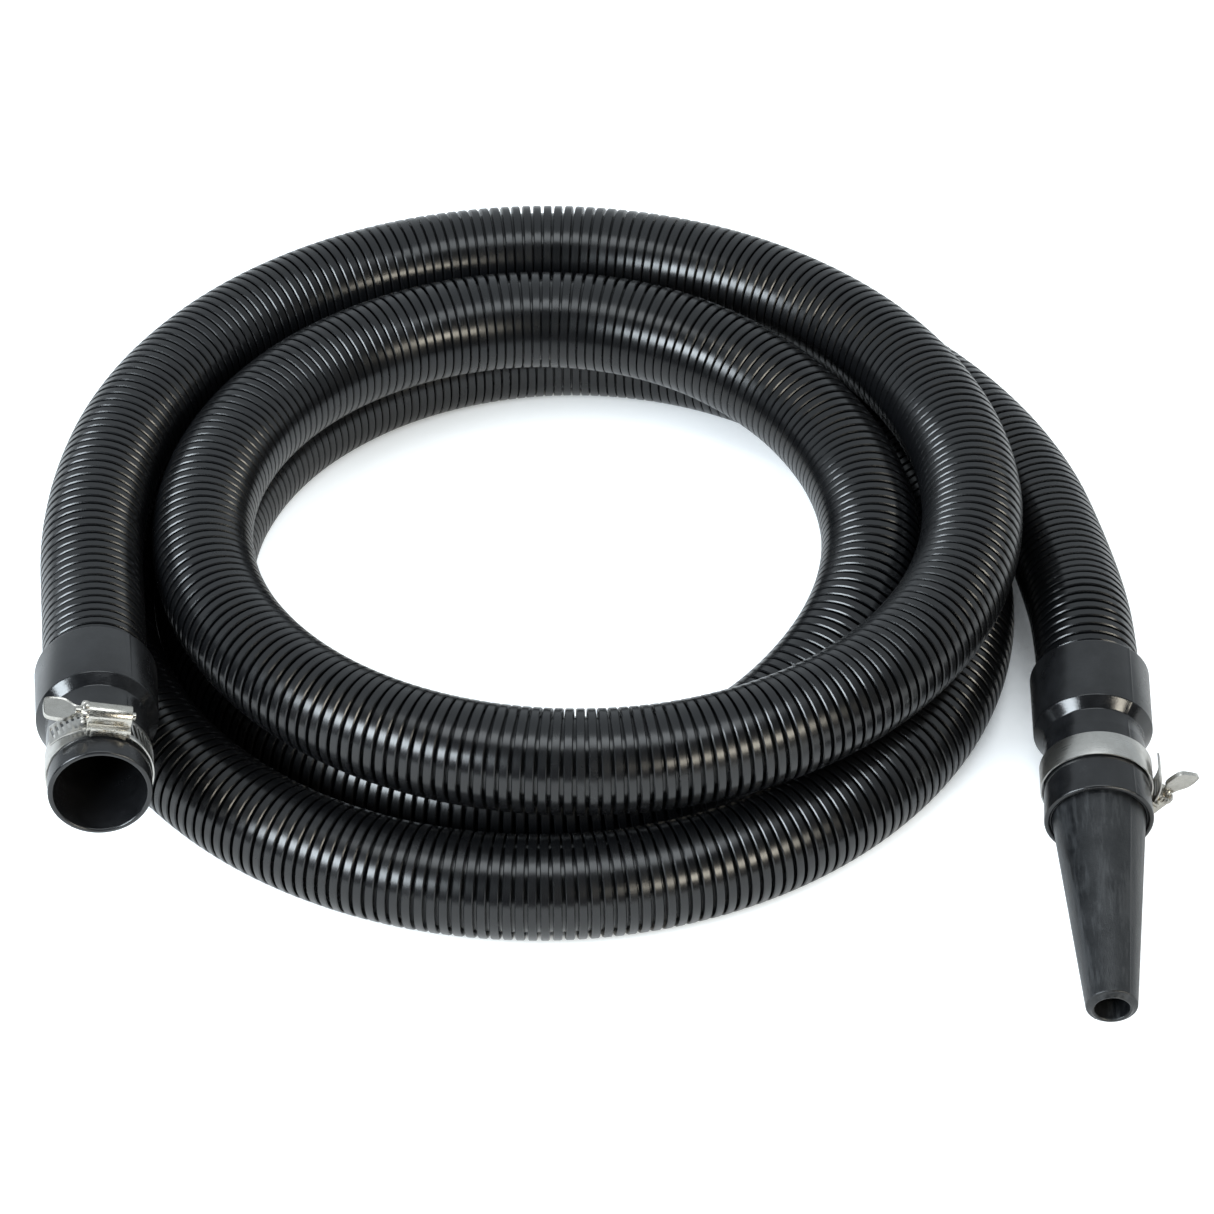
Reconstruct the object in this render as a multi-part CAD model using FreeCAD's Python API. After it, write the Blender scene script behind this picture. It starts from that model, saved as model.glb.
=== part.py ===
import FreeCAD, Part
import math
import os

# A coiled suction hose with a moulded cuff at each end.  One cuff is open and
# takes a pump's stub; the other holds a tapered rubber nozzle.  A worm-drive
# clamp with a thumb wing closes each cuff's spigot.
#
# Millimetres.  +Z is up, X to the right, Y towards the back.  The origin is on
# the floor, in the middle of the whole.

# ---- hose ----
HOSE_OD = 44.0             # over the ribs
HOSE_BORE = 36.0
HOSE_SEAT_GAP = 0.15       # radial, between the hose and a cuff's socket

# ---- the coil: three and a half loose turns in two layers ----
COIL_CENTRE = (-24.2, -2.975)
COIL_START_DEG = 180.0     # the first turn starts on the left and goes to the back
POINTS_PER_QUARTER = 4
CORNERS_PER_SPAN = 2       # the hose is built in spans, an eighth of a turn each
# one entry for each quarter turn, from the pump cuff inwards and out again
COIL_RADII = [202.7, 204, 186, 158, 156.5, 151, 141.5, 133.5, 158.5, 187, 184.2, 185.2, 203.5, 233, 229.5]
COIL_HEIGHTS = [70.5, 66, 67, 68, 66.5, 66, 52, 22, 22, 22, 22, 22, 22, 22, 25]
# the ends that are not coiled
PUMP_END = [(-213.3, -133.325, 71.5), (-219.3, -76.525, 67.6)]
NOZZLE_END = [(204.3, -6.025, 31.2), (205.7, -55.325, 36.9), (204.5, -99.825, 31)]

# ---- cuffs ----
SOCKET_OD = 51.3
SOCKET_LENGTH = 31.0
SOCKET_DEPTH = 29.0
RIM_CHAMFER = 0.8
STEP_LENGTH = 4.5
SPIGOT_LENGTH = 44.0
SPIGOT_OD = 42.6           # as moulded, on the pump end
SPIGOT_WALL = 2.3
LIP_FILLET = 0.9

# ---- nozzle ----
SHANK_OD = 41.3            # it stretches the spigot that it is pushed into
SHANK_LENGTH = 36.0
SHANK_SHORT_OF_LIP = 1.5
ROOT_OD = 39.2
TIP_OD = 23.2
NOZZLE_REACH = 97.5        # from the cuff's lip to the tip
TIP_BORE = 14.8
TIP_LAND = 12.0            # the straight end of the bore
TIP_FILLET = 2.2
INLET_BORE = 32.0
SLIDE_FIT = 0.05           # radial, shank in spigot and band on spigot

# ---- worm-drive clamps ----
BAND_WIDTH = 12.0
BAND_THICK = 0.7
BAND_LIFT = 1.95           # of the slotted lap over the fixed end
BAND_LEAVES_DEG = -20.0    # where the lap starts to rise
BAND_END_DEG = 70.0        # the fixed end, under the housing
BAND_FLAT = 2.5            # from the housing's middle to the tail's curve
TAIL_SWEEP_DEG = 56.0
SLOT_PITCH = 2.5
SLOT_WIDTH = 1.2
SLOT_LENGTH = 7.6
SLOT_SLANT_DEG = 14.0
SLOTS_ON_BAND = 24
HOUSING_LENGTH = 18.0
SHEET = 0.8                # the housing's steel
SADDLE_THICK = 0.6
LIP_HEIGHT = 3.0           # of the saddle's turned-up edges
WORM_OD = 6.4
WORM_ROOM = 0.3            # radial, worm in housing and worm over band
NECK_OD = 4.2
TIP_PIN_OD = 3.4
COLLAR_OD = 8.0
COLLAR_THICK = 1.8
SIDE_ROOM = 0.3            # each side of the band in the housing
SEAT = 0.02                # between parts that lie face to face

# ---- thumb wings ----
WING_LENGTH = 16.0
WING_WIDTH = 13.6
WING_NECK = 5.6
WING_THICK = 1.8
WING_ROOT = 3.2            # from the collar to the wing's shoulders
WING_CORNER = 3.0

# ---- where each clamp sits ----
PUMP_CLAMP_FROM_MOUTH = 17.0
PUMP_CLAMP_TURN = -13.0
PUMP_WING_TURN = 0.0
NOZZLE_CLAMP_FROM_MOUTH = 23.4
NOZZLE_CLAMP_TURN = -127.0
NOZZLE_WING_TURN = 70.0

CUFF_LENGTH = SOCKET_LENGTH + STEP_LENGTH + SPIGOT_LENGTH
Z_AXIS = FreeCAD.Vector(0, 0, 1)
ORIGIN = FreeCAD.Vector(0, 0, 0)


def vec(x, y, z=0.0):
    return FreeCAD.Vector(x, y, z)


def polar(radius, degrees, centre=ORIGIN):
    angle = math.radians(degrees)
    return centre + vec(radius * math.cos(angle), radius * math.sin(angle))


def revolved(outline):
    """A solid of revolution about Z from (radius, z) corners."""
    points = [vec(radius, 0, z) for radius, z in outline]
    face = Part.Face(Part.makePolygon(points + points[:1]))
    return face.revolve(ORIGIN, Z_AXIS, 360)


# ---------------------------------------------------------------- the hose
def smooth_radius(turns):
    """The coil's radius after so many quarter turns, on a curve through each entry."""
    last = len(COIL_RADII) - 1
    i = min(int(turns), last - 1)
    u = turns - i
    before = COIL_RADII[i - 1] if i > 0 else 2 * COIL_RADII[0] - COIL_RADII[1]
    here, there = COIL_RADII[i], COIL_RADII[i + 1]
    after = COIL_RADII[i + 2] if i + 2 <= last else 2 * there - here
    bend = u * (2 * before - 5 * here + 4 * there - after + u * (3 * (here - there) + after - before))
    return here + 0.5 * u * (there - before + bend)


def eased_height(turns):
    """The coil's height, which never dips below the lower of two entries."""
    i = min(int(turns), len(COIL_HEIGHTS) - 2)
    u = turns - i
    return COIL_HEIGHTS[i] + (COIL_HEIGHTS[i + 1] - COIL_HEIGHTS[i]) * u * u * (3 - 2 * u)


def hose_route():
    coil = []
    for i in range((len(COIL_RADII) - 1) * POINTS_PER_QUARTER):
        turns = i / POINTS_PER_QUARTER
        angle = math.radians(COIL_START_DEG - 90 * turns)
        radius = smooth_radius(turns)
        x = COIL_CENTRE[0] + radius * math.cos(angle)
        y = COIL_CENTRE[1] + radius * math.sin(angle)
        coil.append((x, y, eased_height(turns)))
    return [vec(*point) for point in PUMP_END + coil + NOZZLE_END]


def tube_path(route):
    """Straight runs joined by tangent arcs, each as large as its two runs allow.

    The first and last run stay straight for as long as they are in a socket."""
    lengths = [here.distanceToPoint(there) for here, there in zip(route, route[1:])]
    reaches = [0.45 * length for length in lengths]
    reaches[0] = min(reaches[0], lengths[0] - SOCKET_DEPTH)
    reaches[-1] = min(reaches[-1], lengths[-1] - SOCKET_DEPTH)
    edges, radii, start = [], [], route[0]
    for i, (before, corner, after) in enumerate(zip(route, route[1:], route[2:])):
        back = (before - corner).normalize()
        ahead = (after - corner).normalize()
        turn = math.pi - back.getAngle(ahead)
        reach = min(reaches[i], reaches[i + 1])
        radius = reach / math.tan(turn / 2)
        inward = (back + ahead).normalize()
        middle = corner + inward * (radius / math.cos(turn / 2) - radius)
        entry, leave = corner + back * reach, corner + ahead * reach
        edges.append(Part.LineSegment(start, entry).toShape())
        edges.append(Part.Arc(entry, middle, leave).toShape())
        radii.append(radius)
        start = leave
    edges.append(Part.LineSegment(start, route[-1]).toShape())
    return edges, radii


def tube_span(edges):
    """One span of the hose's wall, along a few edges of its path."""
    first = edges[0]
    path = Part.Wire(edges)
    direction = first.tangentAt(first.FirstParameter)
    place = first.valueAt(first.FirstParameter)
    walls = []
    for diameter in (HOSE_OD, HOSE_BORE):
        ring = Part.Wire(Part.makeCircle(diameter / 2, place, direction))
        walls.append(path.makePipeShell([ring], True, False))
    return walls[0].cut(walls[1])


def make_hose(route):
    """The whole hose, as spans that meet face to face."""
    edges, radii = tube_path(route)
    step = 2 * CORNERS_PER_SPAN
    spans = [tube_span(edges[i:i + step]) for i in range(0, len(edges), step)]
    hose = Part.makeCompound(spans)
    length = sum(edge.Length for edge in edges)
    section = math.pi / 4 * (HOSE_OD**2 - HOSE_BORE**2)
    print("hose length %.0f, smallest bend radius %.0f" % (length, min(radii)))
    print("volume over section times length %.4f" % (hose.Volume / (section * length)))
    return hose


# ------------------------------------------------- cuffs and nozzle, on Z
# Each is built with the hose's end behind it: z = 0 at the rim, the mouth at
# z = CUFF_LENGTH, x to the right and y up as someone looking in sees it.
def shank_start():
    """The inner end of the nozzle's shank."""
    return CUFF_LENGTH - SHANK_SHORT_OF_LIP - SHANK_LENGTH


def make_cuff(spigot_od):
    """A cuff whose spigot is as moulded at the step, and opened out from the shank on."""
    socket_r = SOCKET_OD / 2
    seat_r = HOSE_OD / 2 + HOSE_SEAT_GAP
    neck_r = SPIGOT_OD / 2
    neck_bore_r = neck_r - SPIGOT_WALL
    spigot_r = spigot_od / 2
    bore_r = spigot_r - SPIGOT_WALL
    step_end = SOCKET_LENGTH + STEP_LENGTH
    outside = [
        (seat_r, 0),
        (socket_r - RIM_CHAMFER, 0),
        (socket_r, RIM_CHAMFER),
        (socket_r, SOCKET_LENGTH),
        (neck_r, step_end),
    ]
    inside = [
        (neck_bore_r, SOCKET_DEPTH + (seat_r - neck_bore_r)),
        (HOSE_BORE / 2, SOCKET_DEPTH + SEAT),
        (seat_r, SOCKET_DEPTH + SEAT),
    ]
    if spigot_r > neck_r:
        outside.append((spigot_r, shank_start() - SEAT))
        inside.insert(0, (neck_bore_r, step_end))
        inside.insert(0, (bore_r, shank_start() - SEAT))
    cuff = revolved(outside + [(spigot_r, CUFF_LENGTH), (bore_r, CUFF_LENGTH)] + inside)
    lip = [edge for edge in cuff.Edges if edge.BoundBox.ZMin > CUFF_LENGTH - 0.01]
    return cuff.makeFillet(LIP_FILLET, lip)


def stretched_spigot():
    """The nozzle end's spigot, opened out by the shank that it holds."""
    return SHANK_OD + 2 * SLIDE_FIT + 2 * SPIGOT_WALL


def make_nozzle():
    shank_end = CUFF_LENGTH - SHANK_SHORT_OF_LIP
    tip = CUFF_LENGTH + NOZZLE_REACH
    outline = [
        (INLET_BORE / 2, shank_start()),
        (SHANK_OD / 2, shank_start()),
        (SHANK_OD / 2, shank_end),
        (ROOT_OD / 2, shank_end),
        (TIP_OD / 2, tip),
        (TIP_BORE / 2, tip),
        (TIP_BORE / 2, tip - TIP_LAND),
    ]
    nozzle = revolved(outline)
    mouth = []
    for edge in nozzle.Edges:
        box = edge.BoundBox
        if box.ZMin > tip - 0.01 and box.XMax > (TIP_OD + TIP_BORE) / 4:
            mouth.append(edge)
    wall = (TIP_OD - TIP_BORE) / 2
    return nozzle.makeFillet(min(TIP_FILLET, 0.8 * wall), mouth)


# ------------------------------------------------------------------ clamps
# Each is built about the spigot's axis with its band's middle at z = 0, its
# housing on top (+Y) and its wing to the left (-X).
def lap_height(spigot_r):
    """From the axis to the underside of the slotted lap, in the housing."""
    return spigot_r + SLIDE_FIT + BAND_LIFT


def worm_height(spigot_r):
    return lap_height(spigot_r) + BAND_THICK + WORM_ROOM + WORM_OD / 2


def band_edges(spigot_r, offset):
    """The band's centre side at offset 0, its outer side at offset BAND_THICK."""
    inner = spigot_r + SLIDE_FIT
    shift = BAND_LIFT / (1 - math.sin(math.radians(BAND_LEAVES_DEG)))
    lap_centre = polar(-shift, BAND_LEAVES_DEG)
    top = lap_height(spigot_r)
    tail_centre = vec(-BAND_FLAT, 0)
    tail_end_deg = 90 + TAIL_SWEEP_DEG
    ring_r, lap_r, tail_r = inner + offset, inner + shift + offset, top + offset
    ring_middle_deg = (BAND_END_DEG + 360 + BAND_LEAVES_DEG) / 2
    lap_middle_deg = (BAND_LEAVES_DEG + 90) / 2
    tail_middle_deg = 90 + TAIL_SWEEP_DEG / 2
    lap_top = polar(lap_r, 90, lap_centre)
    tail_start = polar(tail_r, 90, tail_centre)
    ring_end = polar(ring_r, BAND_LEAVES_DEG)
    return [
        Part.Arc(polar(ring_r, BAND_END_DEG), polar(ring_r, ring_middle_deg), ring_end).toShape(),
        Part.Arc(ring_end, polar(lap_r, lap_middle_deg, lap_centre), lap_top).toShape(),
        Part.LineSegment(lap_top, tail_start).toShape(),
        Part.Arc(
            tail_start,
            polar(tail_r, tail_middle_deg, tail_centre),
            polar(tail_r, tail_end_deg, tail_centre),
        ).toShape(),
    ]


def slot_cutter(place, normal_deg):
    """A slanted slot through the band, at a place on it and along its normal."""
    box = Part.makeBox(SLOT_WIDTH, 4 * BAND_THICK, SLOT_LENGTH)
    box.translate(vec(-SLOT_WIDTH / 2, -2 * BAND_THICK, -SLOT_LENGTH / 2))
    box.rotate(ORIGIN, vec(0, 1, 0), SLOT_SLANT_DEG)
    box.rotate(ORIGIN, Z_AXIS, normal_deg - 90)
    box.translate(place)
    return box


def band_slots(spigot_r):
    """Slots from the tail back down the lap, clear of the housing's middle."""
    cutters = []
    tail_r = lap_height(spigot_r) + BAND_THICK / 2
    pitch_deg = math.degrees(SLOT_PITCH / tail_r)
    for i in range(int(TAIL_SWEEP_DEG / pitch_deg)):
        degrees = 90 + (i + 0.5) * pitch_deg
        cutters.append(slot_cutter(polar(tail_r, degrees, vec(-BAND_FLAT, 0)), degrees))
    shift = BAND_LIFT / (1 - math.sin(math.radians(BAND_LEAVES_DEG)))
    lap_centre = polar(-shift, BAND_LEAVES_DEG)
    lap_r = spigot_r + SLIDE_FIT + shift + BAND_THICK / 2
    pitch_deg = math.degrees(SLOT_PITCH / lap_r)
    for i in range(SLOTS_ON_BAND):
        degrees = 90 - (i + 0.5) * pitch_deg
        if degrees > BAND_LEAVES_DEG:
            cutters.append(slot_cutter(polar(lap_r, degrees, lap_centre), degrees))
    return cutters


def make_band(spigot_r):
    near = band_edges(spigot_r, 0)
    far = band_edges(spigot_r, BAND_THICK)
    ends = []
    for i in (0, -1):
        vertex = 0 if i == 0 else -1
        ends.append(Part.LineSegment(near[i].Vertexes[vertex].Point, far[i].Vertexes[vertex].Point))
    outline = Part.Wire(Part.__sortEdges__(near + far + [end.toShape() for end in ends]))
    strip = Part.Face(outline).extrude(vec(0, 0, BAND_WIDTH))
    strip.translate(vec(0, 0, -BAND_WIDTH / 2))
    return strip.cut(Part.makeCompound(band_slots(spigot_r)))


def across_box(length, low, high, width):
    """A box centred on the clamp's middle: length on X, low to high on Y, width on Z."""
    box = Part.makeBox(length, high - low, width)
    box.translate(vec(-length / 2, low, -width / 2))
    return box


def drum(radius):
    """A cylinder about the spigot's axis, wider than any clamp."""
    return Part.makeCylinder(radius, 4 * BAND_WIDTH, vec(0, 0, -2 * BAND_WIDTH))


def along_worm(radius, start, end, spigot_r):
    """A cylinder on the worm's axis between two places on X."""
    return Part.makeCylinder(radius, end - start, vec(start, worm_height(spigot_r), 0), vec(1, 0, 0))


def saddle_top(spigot_r):
    return spigot_r + SLIDE_FIT + BAND_THICK + SEAT + SADDLE_THICK


def make_saddle(spigot_r):
    inner_width = BAND_WIDTH + 2 * (SIDE_ROOM + SHEET + SEAT)
    width = inner_width + 2 * SADDLE_THICK
    top = saddle_top(spigot_r)
    under = top - SADDLE_THICK
    length = 2 * spigot_r * math.cos(math.radians(BAND_END_DEG))
    plate = across_box(length, 0, top, width).common(drum(top))
    ceiling = lap_height(spigot_r) + LIP_HEIGHT - SHEET
    lips = across_box(length, 0, ceiling, width).cut(across_box(2 * length, -1, 2 * ceiling, inner_width))
    notch = across_box(length / 3, ceiling - 0.35 * LIP_HEIGHT, 2 * ceiling, 2 * width)
    return plate.fuse(lips.cut(notch)).cut(drum(under)).removeSplitter()


def make_housing(spigot_r):
    room = BAND_WIDTH + 2 * SIDE_ROOM
    ceiling = lap_height(spigot_r) + BAND_THICK + WORM_ROOM
    axis_y = worm_height(spigot_r)
    half = HOUSING_LENGTH / 2
    dome_r = WORM_OD / 2 + WORM_ROOM
    shell = across_box(HOUSING_LENGTH, 0, ceiling + SHEET, room + 2 * SHEET)
    crest = along_worm(dome_r + SHEET, -half, half, spigot_r)
    cheeks = across_box(HOUSING_LENGTH, ceiling, axis_y, 2 * (dome_r + SHEET))
    shell = shell.fuse([crest, cheeks]).removeSplitter()
    hollow = across_box(2 * HOUSING_LENGTH, -1, ceiling, room)
    worm_room = along_worm(dome_r, -half + SHEET, half - SHEET, spigot_r)
    worm_side = across_box(HOUSING_LENGTH - 2 * SHEET, 0, axis_y, 2 * dome_r)
    neck_hole = along_worm(NECK_OD / 2 + SLIDE_FIT, -HOUSING_LENGTH, 0, spigot_r)
    pin_hole = along_worm(TIP_PIN_OD / 2 + SLIDE_FIT, 0, HOUSING_LENGTH, spigot_r)
    shell = shell.cut([hollow, worm_room, worm_side, neck_hole, pin_hole])
    return shell.cut(drum(saddle_top(spigot_r) + SEAT)).removeSplitter()


def make_screw(spigot_r):
    half = HOUSING_LENGTH / 2
    end_play = 0.1
    worm = along_worm(WORM_OD / 2, -half + SHEET + end_play, half - SHEET - end_play, spigot_r)
    collar_face = -half - end_play
    collar = along_worm(COLLAR_OD / 2, collar_face - COLLAR_THICK, collar_face, spigot_r)
    neck = along_worm(NECK_OD / 2, collar_face - COLLAR_THICK - WING_ROOT, 0, spigot_r)
    pin = along_worm(TIP_PIN_OD / 2, 0, half + COLLAR_THICK, spigot_r)
    return worm.fuse([collar, neck, pin]).removeSplitter()


def make_wing(spigot_r, turn):
    """A stamped paddle, forked over the end of the screw."""
    root = -HOUSING_LENGTH / 2 - 0.1 - COLLAR_THICK - SEAT
    shoulder = root - WING_ROOT
    end = root - WING_LENGTH
    neck, half = WING_NECK / 2, WING_WIDTH / 2
    outline = [
        vec(root, 0, -neck),
        vec(shoulder, 0, -neck),
        vec(shoulder - WING_ROOT, 0, -half),
        vec(end, 0, -half * 0.86),
        vec(end, 0, half * 0.86),
        vec(shoulder - WING_ROOT, 0, half),
        vec(shoulder, 0, neck),
        vec(root, 0, neck),
    ]
    plate = Part.Face(Part.makePolygon(outline + outline[:1])).extrude(vec(0, WING_THICK, 0))
    plate.translate(vec(0, -WING_THICK / 2, 0))
    corners = []
    for edge in plate.Edges:
        box = edge.BoundBox
        if box.YLength > 0.9 * WING_THICK and box.XMax < shoulder - 0.1:
            corners.append(edge)
    plate = plate.makeFillet(WING_CORNER, corners)
    boss = Part.makeCylinder(WING_NECK / 2, WING_ROOT, vec(root, 0, 0), vec(-1, 0, 0))
    stub = Part.makeCylinder(NECK_OD / 2 + SEAT, WING_ROOT + SEAT, vec(root + SEAT, 0, 0), vec(-1, 0, 0))
    wing = plate.fuse(boss).removeSplitter().cut(stub)
    wing.rotate(ORIGIN, vec(1, 0, 0), turn)
    wing.translate(vec(0, worm_height(spigot_r), 0))
    return wing


def make_clamp(name, spigot_od, turn, wing_turn, distance):
    """All of one clamp's pieces, turned and slid along to their place on a cuff."""
    spigot_r = spigot_od / 2
    pieces = {
        name + "_band": make_band(spigot_r),
        name + "_saddle": make_saddle(spigot_r),
        name + "_housing": make_housing(spigot_r),
        name + "_screw": make_screw(spigot_r),
        name + "_wing": make_wing(spigot_r, wing_turn),
    }
    for piece in pieces.values():
        piece.rotate(ORIGIN, Z_AXIS, turn)
        piece.translate(vec(0, 0, CUFF_LENGTH - distance))
    return pieces


# ---------------------------------------------------------------- assembly
def place_on_end(pieces, end, before):
    """Puts an end's pieces on the hose: their Z runs out along the hose's last run."""
    out = (end - before).normalize()
    right = vec(-out.y, out.x).normalize()
    up = out.cross(right)
    rim = end - out * SOCKET_DEPTH
    matrix = FreeCAD.Matrix(
        right.x, up.x, out.x, rim.x,
        right.y, up.y, out.y, rim.y,
        right.z, up.z, out.z, rim.z,
        0, 0, 0, 1,
    )
    for piece in pieces.values():
        piece.Placement = FreeCAD.Placement(matrix).multiply(piece.Placement)
    print("rim", rim, "out", out, "up", up)
    return pieces


route = hose_route()
nodes = {"hose": make_hose(route)}

pump_pieces = {"pump_cuff": make_cuff(SPIGOT_OD)}
pump_pieces.update(
    make_clamp("pump_clamp", SPIGOT_OD, PUMP_CLAMP_TURN, PUMP_WING_TURN, PUMP_CLAMP_FROM_MOUTH)
)
nodes.update(place_on_end(pump_pieces, route[0], route[1]))

nozzle_pieces = {"nozzle_cuff": make_cuff(stretched_spigot()), "nozzle": make_nozzle()}
nozzle_pieces.update(
    make_clamp(
        "nozzle_clamp",
        stretched_spigot(),
        NOZZLE_CLAMP_TURN,
        NOZZLE_WING_TURN,
        NOZZLE_CLAMP_FROM_MOUTH,
    )
)
nodes.update(place_on_end(nozzle_pieces, route[-1], route[-2]))

os.makedirs("parts", exist_ok=True)
for name, shape in nodes.items():
    shape.exportStep("parts/%s.step" % name)
    box = shape.BoundBox
    corners = (box.XMin, box.XMax, box.YMin, box.YMax, box.ZMin, box.ZMax)
    print("%-20s valid %s solids %d" % (name, shape.isValid(), len(shape.Solids)), end=" ")
    print("box", " ".join("%.1f" % value for value in corners))
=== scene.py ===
# %% [markdown]
# # A coiled suction hose, its two cuffs and its nozzle
#
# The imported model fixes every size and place, in metres: +Z is up, X to the right and Y
# towards the back.  This lesson dresses that model.  A corrugated hose is a thin wall
# with a rib every few millimetres; a moulded cuff closes each end, one with a tapered
# rubber nozzle in it; and a worm-drive clamp with a thumb wing grips each cuff.

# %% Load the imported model
import math

import bmesh
import bpy
import numpy as np
from mathutils import Matrix, Vector


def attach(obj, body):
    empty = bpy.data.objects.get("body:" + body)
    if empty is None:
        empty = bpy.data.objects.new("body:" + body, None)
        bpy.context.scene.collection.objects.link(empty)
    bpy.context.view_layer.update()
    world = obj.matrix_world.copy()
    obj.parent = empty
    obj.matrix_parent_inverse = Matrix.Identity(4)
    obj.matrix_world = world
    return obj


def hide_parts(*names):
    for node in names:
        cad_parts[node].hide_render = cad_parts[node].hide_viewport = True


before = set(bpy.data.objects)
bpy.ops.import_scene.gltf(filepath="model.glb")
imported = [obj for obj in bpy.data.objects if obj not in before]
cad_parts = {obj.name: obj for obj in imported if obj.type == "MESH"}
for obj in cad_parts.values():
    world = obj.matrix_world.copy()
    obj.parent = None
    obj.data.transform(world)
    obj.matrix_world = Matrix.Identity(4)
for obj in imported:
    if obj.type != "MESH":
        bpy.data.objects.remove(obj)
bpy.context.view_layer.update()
scene = bpy.context.scene
MM = 0.001

# %% [markdown]
# ## Camera
#
# A product is usually shown from above the table with a long lens, so that its near and
# far sides keep the same proportions.  The camera stands in front, 2 m away, and looks
# down about 40 degrees.

# %% Camera
LOOK_AT = Vector((-0.0013, 0.018, 0.0))
LOOK_DISTANCE = 2.0328
LOOK_DOWN = math.radians(40.63)
LOOK_TURN = math.radians(-0.46)
LENS_MM, SENSOR_MM = 134.1, 36.0
camera_data = bpy.data.cameras.new("camera")
camera_data.lens = LENS_MM
camera_data.sensor_width = SENSOR_MM
camera = bpy.data.objects.new("camera", camera_data)
scene.collection.objects.link(camera)
level = math.cos(LOOK_DOWN)
aside, ahead = math.sin(LOOK_TURN) * level, math.cos(LOOK_TURN) * level
camera.location = LOOK_AT + LOOK_DISTANCE * Vector((aside, -ahead, math.sin(LOOK_DOWN)))
camera.rotation_euler = (math.pi / 2 - LOOK_DOWN, 0, LOOK_TURN)
scene.camera = camera
print("camera at", [round(value, 3) for value in camera.location])

# %% [markdown]
# ## The hose's line
#
# A hose this stiff never kinks: it lies in wide turns, each a little larger or smaller
# than the last.  The line could be a Bezier curve with a handle for every bend, but a
# NURBS curve needs only its control points, and it is smooth wherever they are.  They go
# round three and a half loose turns, four to each quarter, with a few more where the
# hose leaves the coil for its cuffs.

# %% Control points
COIL_CENTRE = (-0.0242, -0.002975)
COIL_START = math.pi
POINTS_PER_QUARTER = 4
COIL_RADII = [
    0.2027, 0.204, 0.186, 0.158, 0.1565, 0.151, 0.1415, 0.1335,
    0.1585, 0.187, 0.1842, 0.1852, 0.2035, 0.233, 0.2295,
]
COIL_HEIGHTS = [
    0.0705, 0.066, 0.067, 0.068, 0.0665, 0.066, 0.052, 0.022,
    0.022, 0.022, 0.022, 0.022, 0.022, 0.022, 0.025,
]
PUMP_END = [(-0.2133, -0.133325, 0.0715), (-0.2193, -0.076525, 0.0676)]
NOZZLE_END = [
    (0.2043, -0.006025, 0.0312), (0.2057, -0.055325, 0.0369), (0.2045, -0.099825, 0.031),
]


def smooth_radius(turns):
    """The coil's radius after so many quarter turns, on a curve through each entry."""
    last = len(COIL_RADII) - 1
    i = min(int(turns), last - 1)
    u = turns - i
    before = COIL_RADII[i - 1] if i > 0 else 2 * COIL_RADII[0] - COIL_RADII[1]
    here, there = COIL_RADII[i], COIL_RADII[i + 1]
    after = COIL_RADII[i + 2] if i + 2 <= last else 2 * there - here
    cubic = u * (3 * (here - there) + after - before)
    bend = u * (2 * before - 5 * here + 4 * there - after + cubic)
    return here + 0.5 * u * (there - before + bend)


def eased_height(turns):
    """The coil's height, which never dips below the lower of two entries."""
    i = min(int(turns), len(COIL_HEIGHTS) - 2)
    u = turns - i
    return COIL_HEIGHTS[i] + (COIL_HEIGHTS[i + 1] - COIL_HEIGHTS[i]) * u * u * (3 - 2 * u)


coil = []
for i in range((len(COIL_RADII) - 1) * POINTS_PER_QUARTER):
    turns = i / POINTS_PER_QUARTER
    angle = COIL_START - math.pi / 2 * turns
    reach = smooth_radius(turns)
    x = COIL_CENTRE[0] + reach * math.cos(angle)
    y = COIL_CENTRE[1] + reach * math.sin(angle)
    coil.append((x, y, eased_height(turns)))
route = PUMP_END + coil + NOZZLE_END
print("control points:", len(route))

# %% [markdown]
# The curve's order and its end points are set after the points are there, because set
# before, they would leave it as straight runs.  A copy with no thickness is read back as
# a mesh, and its vertices are the points that the wall and the ribs follow.

# %% The line as a curve
LINE_STEPS = 12            # divisions between two control points
LINE_ORDER = 3


def nurbs_object(name, points):
    curve = bpy.data.curves.new(name, "CURVE")
    curve.dimensions = "3D"
    curve.resolution_u = LINE_STEPS
    spline = curve.splines.new("NURBS")
    spline.points.add(len(points) - 1)
    for control, place in zip(spline.points, points):
        control.co = (*place, 1)
    spline.order_u = LINE_ORDER
    spline.use_endpoint_u = True
    made = bpy.data.objects.new(name, curve)
    scene.collection.objects.link(made)
    return made


line = nurbs_object("hose_line", route)
line_mesh = bpy.data.meshes.new_from_object(line)
line_points = [tuple(vertex.co) for vertex in line_mesh.vertices]
line_length = sum(math.dist(a, b) for a, b in zip(line_points, line_points[1:]))
print("line points:", len(line_points), "length %.3f m" % line_length)

# %% [markdown]
# ## Building materials from nodes
#
# Every finish here is made from noise and numbers.  One small helper adds a node and
# joins or sets its inputs, which keeps each material to a few readable lines.  Effects
# that several finishes share are node groups, built once.

# %% Node helper
def add_node(tree, kind, inputs=None, **settings):
    """A node in a tree; each input is another node's output or a constant."""
    made = tree.nodes.new(kind)
    for name, value in settings.items():
        setattr(made, name, value)
    for key, value in (inputs or {}).items():
        if isinstance(value, bpy.types.NodeSocket):
            tree.links.new(value, made.inputs[key])
        else:
            made.inputs[key].default_value = value
    return made


def number(tree, operation, a, b):
    return add_node(tree, "ShaderNodeMath", {0: a, 1: b}, operation=operation).outputs[0]


def spread(tree, value, low, high, to_low, to_high):
    """A value's range from low to high, carried to another range and held there."""
    ends = {"Value": value, "From Min": low, "From Max": high, "To Min": to_low, "To Max": to_high}
    return add_node(tree, "ShaderNodeMapRange", ends).outputs[0]


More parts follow.
